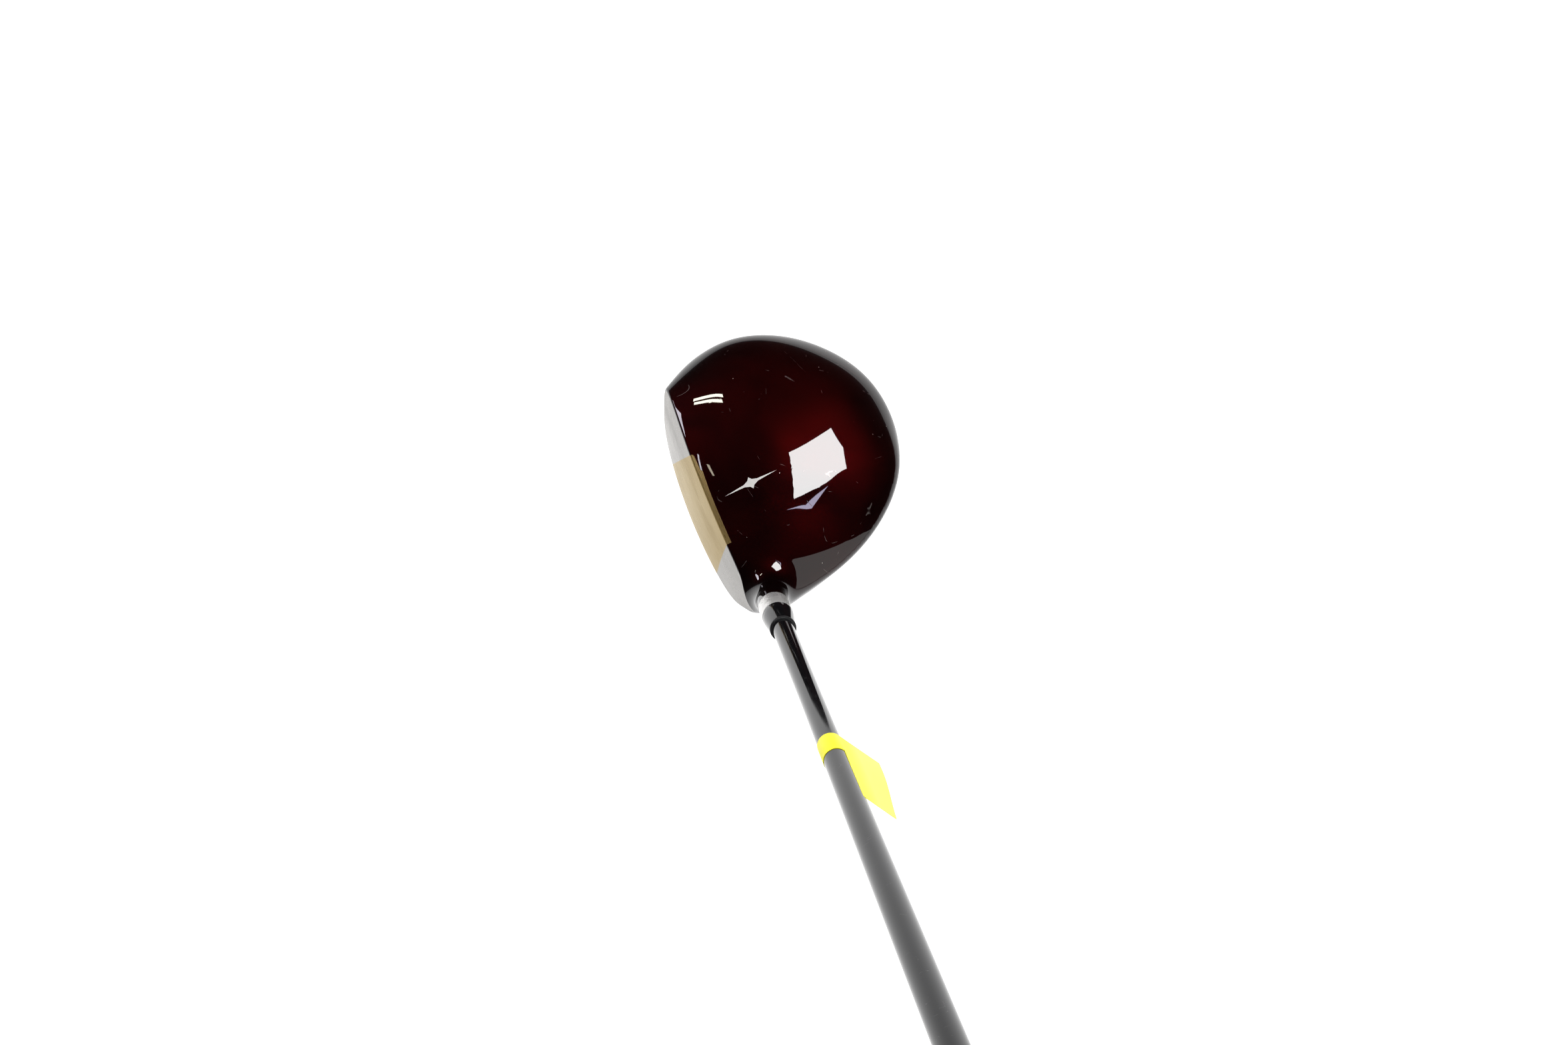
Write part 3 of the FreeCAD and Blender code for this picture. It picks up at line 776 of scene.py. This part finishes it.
class Finish:
    """A material with a Principled shader, and short ways to add nodes to it."""

    def __init__(self, name, **sockets):
        self.material = bpy.data.materials.new(name)
        self.material.use_nodes = True
        self.nodes, self.links = self.material.node_tree.nodes, self.material.node_tree.links
        self.shader = self.nodes["Principled BSDF"]
        self.place = self.nodes.new("ShaderNodeTexCoord").outputs["Object"]
        for socket, value in sockets.items():
            self.shader.inputs[socket.replace("_", " ")].default_value = value

    def node(self, kind, inputs=(), **settings):
        made = self.nodes.new("ShaderNode" + kind)
        for setting, value in settings.items():
            setattr(made, setting, value)
        for socket, value in dict(inputs).items():
            self.feed(made.inputs[socket], value)
        return made

    def feed(self, socket, value):
        """Links a node's output to a socket, or sets the socket to a plain value."""
        if isinstance(value, bpy.types.NodeSocket):
            self.links.new(value, socket)
        else:
            socket.default_value = value

    def into(self, socket, value):
        self.feed(self.shader.inputs[socket], value)

    def stretched(self, x, y, z, turn=(0, 0, 0)):
        """Object coordinates, scaled per axis, after a turn."""
        turned_place = self.node("Mapping", {"Vector": self.place, "Rotation": turn})
        return self.node("Mapping", {"Vector": turned_place.outputs[0], "Scale": (x, y, z)}).outputs[0]

    def about_shaft(self):
        """Position in the shaft's upright frame: two ways across it, and along it."""
        base = [FOOT[0] * math.sin(LIE) * MM, FOOT[1] * MM, FOOT[0] * math.cos(LIE) * MM]
        upright = self.stretched(1, 1, 1, (0, LIE - math.pi / 2, 0))
        moved = self.node("VectorMath", {0: upright, 1: base}, operation="SUBTRACT")
        return self.node("SeparateXYZ", {0: moved.outputs[0]}).outputs

    def noise(self, place, scale=1.0, detail=4.0, roughness=0.55, distortion=0.0):
        return self.node("TexNoise", {
            "Vector": place, "Scale": scale, "Detail": detail,
            "Roughness": roughness, "Distortion": distortion,
        }).outputs[0]

    def ramp(self, value, low, high, start=0.0, end=1.0):
        """A value remapped from low..high to start..end, held at both ends."""
        return self.node("MapRange", {
            "Value": value, "From Min": low, "From Max": high, "To Min": start, "To Max": end,
        }).outputs[0]

    def math(self, operation, a, b=0.0):
        return self.node("Math", {0: a, 1: b}, operation=operation).outputs[0]

    def times(self, a, b):
        return self.math("MULTIPLY", a, b)

    def plus(self, a, b):
        return self.math("ADD", a, b)

    def mix(self, share, first, second):
        made = self.node("Mix", data_type="RGBA")
        self.feed(made.inputs[0], share)
        self.feed(made.inputs[6], first)
        self.feed(made.inputs[7], second)
        return made.outputs[2]

    def colour(self, share, first, second):
        """Makes the base colour run from the first to the second."""
        self.into("Base Color", self.mix(share, first, second))

    def bump(self, height, distance, strength):
        return self.node("Bump", {"Height": height, "Distance": distance, "Strength": strength}).outputs[0]

    def wear(self, scale=55.0, width=0.003, amount=0.61, turn=0.6):
        """Sparse fine curved scratches: 1 on a scratch, 0 off it."""
        lines = []
        for sense in (1, -1):
            drawn_out = self.stretched(1, 0.45, 1, (0, 0, turn * sense + 0.8))
            drift = self.noise(drawn_out, scale * (1.2 + 0.3 * sense), 0.0)
            away = self.math("ABSOLUTE", self.math("SUBTRACT", drift, 0.5 + 0.04 * sense))
            here = self.noise(self.stretched(1, 1, 1, (0, 0, sense)), scale * 2.6, 2.0)
            line, present = self.ramp(away, 0, width, 1, 0), self.ramp(here, amount, amount + 0.04)
            lines.append(self.times(line, present))
        return self.math("MAXIMUM", *lines)

    def specks(self, scale=420.0, size=0.09, amount=0.54):
        """Sparse dots of dust."""
        cells = self.node("TexVoronoi", {"Vector": self.place, "Scale": scale})
        dot = self.ramp(cells.outputs["Distance"], size * 0.6, size, 1.0, 0.0)
        few = self.math("GREATER_THAN", cells.outputs["Color"], 0.72)
        here = self.math("GREATER_THAN", self.noise(self.place, 60.0, 3.0), amount)
        return self.times(dot, self.times(few, here))

    def knurl(self, pitch=0.0042, starts=14.0):
        """Diamonds round the shaft: 0 in the grooves between them, 1 on top."""
        across, aside, along = self.about_shaft()
        angle = self.math("ARCTAN2", aside, across)
        rise = self.times(along, 2 * math.pi / pitch)
        waves = []
        for sense in (starts, -starts):
            phase = self.plus(self.times(angle, sense), rise)
            waves.append(self.math("ABSOLUTE", self.math("SINE", self.times(phase, 0.5))))
        return self.math("MINIMUM", *waves)


def candy_paint(name):
    """Dark red candy lacquer over metal flake, under a clear coat with fine scratches and dust."""
    deep, dark = (0.021, 0.0005, 0.0006, 1), (0.003, 0.0002, 0.0003, 1)
    finish = Finish(name, Metallic=0.8, Roughness=0.42, Coat_Weight=1.0, Coat_Roughness=0.015, Coat_IOR=1.5,
                    Specular_Tint=(0.12, 0.002, 0.003, 1))
    cloud = finish.noise(finish.stretched(1, 1, 1, (-0.2, -1.5, 0.3)), 22.0, 3.0, 0.5, 0.4)
    flake = finish.node("TexVoronoi", {"Vector": finish.place, "Scale": 3200.0}).outputs["Color"]
    tone = finish.plus(finish.ramp(cloud, 0.35, 0.68), finish.times(flake, 0.12))
    colour = finish.mix(tone, dark, deep)
    scratch = finish.wear()
    dust = finish.specks()
    marks = finish.math("MAXIMUM", finish.times(scratch, 0.22), finish.times(dust, 0.7))
    finish.colour(marks, colour, (0.55, 0.5, 0.47, 1))
    smear = finish.noise(finish.stretched(1, 0.3, 1, (0, 0, 0.5)), 90.0, 5.0, 0.6)
    finish.into("Roughness", finish.ramp(smear, 0.3, 0.7, 0.36, 0.5))
    relief = finish.plus(scratch, finish.times(dust, 2.0))
    finish.into("Coat Normal", finish.bump(relief, 0.00001, 0.4))
    return finish.material


def brushed(name, colour, shade, metallic=1.0, roughness=0.3, edge=(1, 1, 1, 1)):
    """Metal with satin lines along the X axis, smears and a few nicks."""
    finish = Finish(name, Metallic=metallic, Roughness=roughness, Anisotropic=0.5, Specular_Tint=edge)
    lines = finish.noise(finish.stretched(0.02, 1, 1), 2600.0, 3.0, 0.7)
    patches = finish.noise(finish.stretched(0.4, 1, 1), 70.0, 4.0, 0.6)
    tone = finish.math("MULTIPLY_ADD", lines, 0.35)
    finish.feed(tone.node.inputs[2], finish.times(patches, 0.6))
    nicks = finish.wear(90.0, 0.004, 0.62, 0.2)
    finish.colour(tone, colour, shade)
    spread = finish.plus(
        finish.ramp(lines, 0.3, 0.7, -0.06, 0.06), finish.ramp(patches, 0.3, 0.7, -0.04, 0.05),
    )
    finish.into("Roughness", finish.plus(spread, roughness))
    height = finish.math("SUBTRACT", lines, finish.times(nicks, 0.8))
    finish.into("Normal", finish.bump(height, 0.00001, 0.8))
    return finish.material


def turned_steel(name):
    """Bright steel with fine tool lines round the shaft axis."""
    finish = Finish(name, Metallic=0.6, Roughness=0.3)
    lines = finish.noise(finish.node("CombineXYZ", {2: finish.about_shaft()[2]}).outputs[0], 9000.0, 2.0)
    smear = finish.noise(finish.place, 160.0, 4.0)
    finish.colour(smear, (0.80, 0.79, 0.77, 1), (0.68, 0.67, 0.65, 1))
    finish.into("Roughness", finish.ramp(smear, 0.3, 0.7, 0.22, 0.34))
    finish.into("Normal", finish.bump(lines, 0.00008, 1.0))
    return finish.material


def black_gloss(name, index=1.45, roughness=0.08):
    """Black lacquer with hairline scratches and faint haze."""
    finish = Finish(name, Roughness=roughness, IOR=index)
    haze = finish.noise(finish.place, 120.0, 5.0, 0.6)
    scratch = finish.wear(120.0, 0.006, 0.6, 0.9)
    share, black, grey = finish.times(scratch, 0.3), (0.006, 0.006, 0.007, 1), (0.2, 0.2, 0.2, 1)
    finish.colour(share, black, grey)
    finish.into("Roughness", finish.ramp(haze, 0.3, 0.75, roughness * 0.8, roughness * 1.6))
    finish.into("Normal", finish.bump(scratch, 0.00001, 0.5))
    return finish.material


def rubber(name, colour=(0.012, 0.012, 0.013, 1), pattern=0.0, roughness=0.6):
    """Matt rubber, with an optional diamond knurl."""
    finish = Finish(name, Roughness=roughness, Specular_IOR_Level=0.35)
    grain = finish.noise(finish.place, 3000.0, 4.0, 0.6)
    dirt = finish.noise(finish.place, 45.0, 5.0, 0.65)
    dust = (0.05, 0.048, 0.045, 1)
    finish.colour(finish.ramp(dirt, 0.45, 0.8, 0, 0.5), colour, dust)
    finish.into("Roughness", finish.ramp(dirt, 0.3, 0.7, roughness - 0.1, roughness + 0.12))
    height, depth = grain, 0.00003
    if pattern:
        diamonds = finish.times(finish.math("POWER", finish.knurl(), 0.5), pattern)
        height, depth = finish.plus(diamonds, finish.times(grain, 0.1)), 0.0003
    finish.into("Normal", finish.bump(height, depth, 0.8))
    return finish.material


def label_paper(name):
    """Thin fluorescent yellow label stock with faint fibres, painted paler where light comes through the
    flag, and a faint painted glow.
    """
    # painted glow: the label gives off faint light in its own colour, though it is no lamp
    finish = Finish(name, Roughness=0.5, Specular_IOR_Level=0.3, Emission_Strength=0.22)
    fibre = finish.noise(finish.stretched(1, 1, 0.3), 900.0, 5.0, 0.7)
    stain = finish.noise(finish.place, 60.0, 4.0)
    across, aside, _ = finish.about_shaft()
    away = finish.math("SQRT", finish.plus(finish.times(across, across), finish.times(aside, aside)))
    strong = finish.mix(finish.ramp(stain, 0.3, 0.7), (0.93, 0.87, 0.01, 1), (0.98, 0.93, 0.03, 1))
    # painted light: the flag, away from the shaft, is coloured paler than the band, as if lit through
    colour = finish.mix(finish.ramp(away, 0.0052, 0.009), strong, (0.97, 0.93, 0.12, 1))
    fibres = finish.ramp(fibre, 0.55, 0.8, 0, 0.25)
    finish.colour(fibres, colour, (0.8, 0.74, 0.02, 1))
    finish.into("Emission Color", colour)
    finish.into("Normal", finish.bump(fibre, 0.00004, 0.6))
    return finish.material


def matt(name, first, second, scale, roughness, bump):
    """A plain matt finish with a mottled colour and a fine grain."""
    finish = Finish(name, Roughness=roughness)
    mottle = finish.noise(finish.place, scale, 5.0, 0.6)
    grain = finish.noise(finish.place, scale * 6, 3.0, 0.6)
    finish.colour(mottle, first, second)
    finish.into("Roughness", finish.ramp(mottle, 0.3, 0.7, roughness - 0.08, roughness + 0.08))
    finish.into("Normal", finish.bump(grain, bump, 0.7))
    return finish.material


# Camera, floor and light

# radius of the floor and of the wall round it, in metres
ROOM = 12


def make_camera():
    """Looks down on the head from above the heel, with the shaft running down the view."""
    data = bpy.data.cameras.new("camera")
    data.lens, data.sensor_width = 75, 36
    data.clip_end = 20
    camera = bpy.data.objects.new("camera", data)
    right = Vector((0.3662, 0.9273, -0.0775)).normalized()
    ahead = Vector((-0.2371, 0.0124, -0.9714)).normalized()
    up = right.cross(ahead).normalized()
    right = ahead.cross(up)
    turn = Matrix((right, up, -ahead)).transposed().to_4x4()
    camera.matrix_world = Matrix.Translation(Vector((0.3357, -0.022, 1.2966))) @ turn
    bpy.context.scene.collection.objects.link(camera)
    bpy.context.scene.camera = camera


def make_floor():
    """White paper on the ground, which gives off most light round the head."""
    work = bmesh.new()
    bmesh.ops.create_circle(work, cap_ends=True, radius=ROOM, segments=96)
    bmesh.ops.translate(work, verts=work.verts, vec=(0, 0, -0.0006))
    floor = from_bmesh("floor", work)
    finish = Finish("floor_paper", Roughness=0.9)
    grain = finish.noise(finish.place, 400.0, 4.0)
    finish.colour(grain, (0.12, 0.12, 0.12, 1), (0.14, 0.14, 0.14, 1))
    finish.into("Normal", finish.bump(grain, 0.00005, 0.3))
    finish.into("Emission Color", (1, 1, 1, 1))
    away = finish.node("VectorMath", {0: finish.place}, operation="LENGTH").outputs["Value"]
    finish.into("Emission Strength", finish.ramp(away, 0.10, 0.45, 1.6, 0.93))
    floor.data.materials.append(finish.material)


def make_backdrop():
    """A pale round wall at the edge of the floor, which only the camera sees."""
    work = bmesh.new()
    bmesh.ops.create_cone(work, cap_ends=False, radius1=ROOM, radius2=ROOM, depth=14.0, segments=96)
    bmesh.ops.translate(work, verts=work.verts, vec=(0, 0, 6.9))
    backdrop = from_bmesh("backdrop", work)
    backdrop.data.shade_smooth()
    finish = Finish("backdrop_paint", Roughness=0.9, Specular_IOR_Level=0.0, Emission_Strength=0.7)
    mottle = finish.noise(finish.place, 0.4, 2.0)
    finish.colour(mottle, (0.05, 0.05, 0.05, 1), (0.06, 0.06, 0.06, 1))
    finish.into("Emission Color", finish.mix(mottle, (0.97, 0.97, 0.98, 1), (1, 1, 1, 1)))
    backdrop.data.materials.append(finish.material)
    backdrop.visible_glossy = backdrop.visible_diffuse = backdrop.visible_shadow = False


def glowing(name, outline, axis, place, strength, colour=(1, 1, 1)):
    """A flat panel on a plane across an axis, in metres. It gives light, and the camera doesn't see it."""
    corners = [(*point[:axis], place, *point[axis:]) for point in outline]
    panel = made(name, corners, [tuple(range(len(corners)))])
    finish = Finish(name + "_light", Base_Color=(0, 0, 0, 1), Specular_IOR_Level=0,
                    Emission_Color=(*colour, 1), Emission_Strength=strength)
    panel.data.materials.append(finish.material)
    panel.visible_camera = False


def make_lights():
    """Softboxes and tubes overhead, a pale wall past the heel, a window and a lamp in front of the toe."""
    past_heel, in_front, overhead = (0, 2.0), (1, -2.0), (2, 2.0)
    cool, warm = (0.93, 0.90, 1.0), (1.0, 0.98, 0.82)
    softbox = [(-0.4, 0.35), (-0.65, 1.05), (-0.35, 1.05), (0.05, 0.9), (0.2, 0.5), (0.2, 0.2), (0, 0.25)]
    glowing("softbox", softbox, *overhead, 20)
    side_box = [(0.25, 0.1), (0.3, 0.3), (0.2, 0.6), (0.35, 0.35)]
    glowing("side_box", side_box, *overhead, 11, (0.78, 0.74, 1.0))
    back_tube = [(-2.15, -0.7), (-1.7, -0.3), (-1.65, -0.3), (-2.05, -0.7)]
    glowing("back_tube", back_tube, *overhead, 28, warm)
    front_tube = [(-1.98, -0.68), (-1.63, -0.32), (-1.58, -0.32), (-1.9, -0.68)]
    glowing("front_tube", front_tube, *overhead, 28, warm)
    wall = [(-0.5, 4.4), (0.2, 4.3), (1.3, 2.6), (1.6, 1.5), (1.75, 0.1), (-0.5, 0.1)]
    glowing("pale_wall", wall, *past_heel, 1.35, (1.0, 0.99, 0.97))
    window = [(-4.5, 2.4), (-3.9, 4.1), (-2.5, 4.0), (-2.3, 3.5), (-3.5, 1.8)]
    glowing("toe_window", window, *in_front, 14, cool)
    transom = [(-2.2, 4.5), (-2.2, 4.57), (-1.88, 4.57), (-1.88, 4.5)]
    glowing("transom", transom, *in_front, 14, cool)
    lamp = [(-2.1, 4.9), (-2.1, 5.05), (-1.75, 5.2), (-1.75, 5.1)]
    glowing("toe_lamp", lamp, *in_front, 9, (1.0, 0.9, 0.7))


def make_world():
    """A dim room, lighter at the horizon and below it."""
    world = bpy.data.worlds.new("room")
    world.use_nodes = True
    nodes, links = world.node_tree.nodes, world.node_tree.links
    back = nodes["Background"]
    place = nodes.new("ShaderNodeTexCoord")
    parts = nodes.new("ShaderNodeSeparateXYZ")
    links.new(place.outputs["Generated"], parts.inputs[0])
    ramp = nodes.new("ShaderNodeValToRGB")
    links.new(parts.outputs[2], ramp.inputs[0])
    low, high = ramp.color_ramp.elements
    low.position, low.color = 0.0, (0.10, 0.10, 0.11, 1)
    high.position, high.color = 0.10, (0.012, 0.011, 0.011, 1)
    links.new(ramp.outputs[0], back.inputs[0])
    bpy.context.scene.world = world
    bpy.context.scene.view_settings.view_transform = "Standard"


# The scene

def stand_in(node, piece, material):
    """A new piece that stands for a CAD node, with its finish."""
    piece.name = node + "_piece"
    piece.data.materials.append(material)
    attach(piece, "root")
    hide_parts(node)


def dress(node, material):
    """A CAD node's own mesh in a better finish."""
    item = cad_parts[node]
    if not item.material_slots:
        item.data.materials.append(material)
    for place in item.material_slots:
        place.material = material


def build():
    make_camera()
    make_world()
    make_floor()
    make_backdrop()
    make_lights()

    paint = candy_paint("candy_paint")
    head = make_head()
    light, dark, edge = (0.25, 0.24, 0.23, 1), (0.17, 0.165, 0.16, 1), (0.96, 0.95, 0.93, 1)
    steel = brushed("satin_steel", light, dark, 0.6, 0.28, edge)
    light, dark, edge = (0.34, 0.235, 0.09, 1), (0.23, 0.16, 0.06, 1), (0.86, 0.81, 0.64, 1)
    gold = brushed("satin_gold", light, dark, 0.5, 0.3, edge)
    brass = brushed("sole_brass", (0.60, 0.47, 0.24, 1), (0.42, 0.31, 0.14, 1), 1.0, 0.35)
    stand_in("crown", head["crown"], paint)
    stand_in("head_body", head["head_body"], paint)
    stand_in("hosel", head["hosel"], paint)
    stand_in("face_plate", head["face_plate"], steel)
    stand_in("face_insert", head["face_insert"], gold)
    white = matt("mark_enamel", (0.80, 0.79, 0.76, 1), (0.68, 0.67, 0.64, 1), 300.0, 0.3, 0.00001)
    stand_in("crown_mark", make_mark(), white)
    stand_in("hosel_collar", make_collar(), turned_steel("turned_steel"))
    stand_in("ferrule", make_ferrule(), black_gloss("ferrule_gloss"))
    ring, black = make_ring(), rubber("ring_black", (0.006, 0.006, 0.007, 1), roughness=0.45)
    stand_in("ferrule_ring", ring, black)
    stand_in("shaft", make_shaft(), black_gloss("shaft_lacquer", 1.325))
    stand_in("grip", make_grip(), rubber("grip_black", pattern=0.6))
    stand_in("grip_cap", make_cap(), rubber("cap_black"))
    stand_in("price_tag", make_tag(), label_paper("label_stock"))

    dress("sole_plate", brass)
    screw = brushed("screw_steel", (0.60, 0.59, 0.57, 1), (0.40, 0.39, 0.38, 1))
    for number in (1, 2, 3, 4):
        dress(f"sole_screw_{number}", screw)
    grey = matt("adhesive_grey", (0.30, 0.29, 0.26, 1), (0.22, 0.21, 0.19, 1), 200.0, 0.5, 0.00003)
    dress("hosel_adhesive", grey)
    dress("tip_plug", matt("plug_cork", (0.42, 0.27, 0.14, 1), (0.25, 0.15, 0.08, 1), 700.0, 0.85, 0.0002))
    dress("grip_tape", matt("tape_tan", (0.62, 0.52, 0.36, 1), (0.50, 0.41, 0.27, 1), 500.0, 0.8, 0.00005))


build()
bpy.context.view_layer.update()
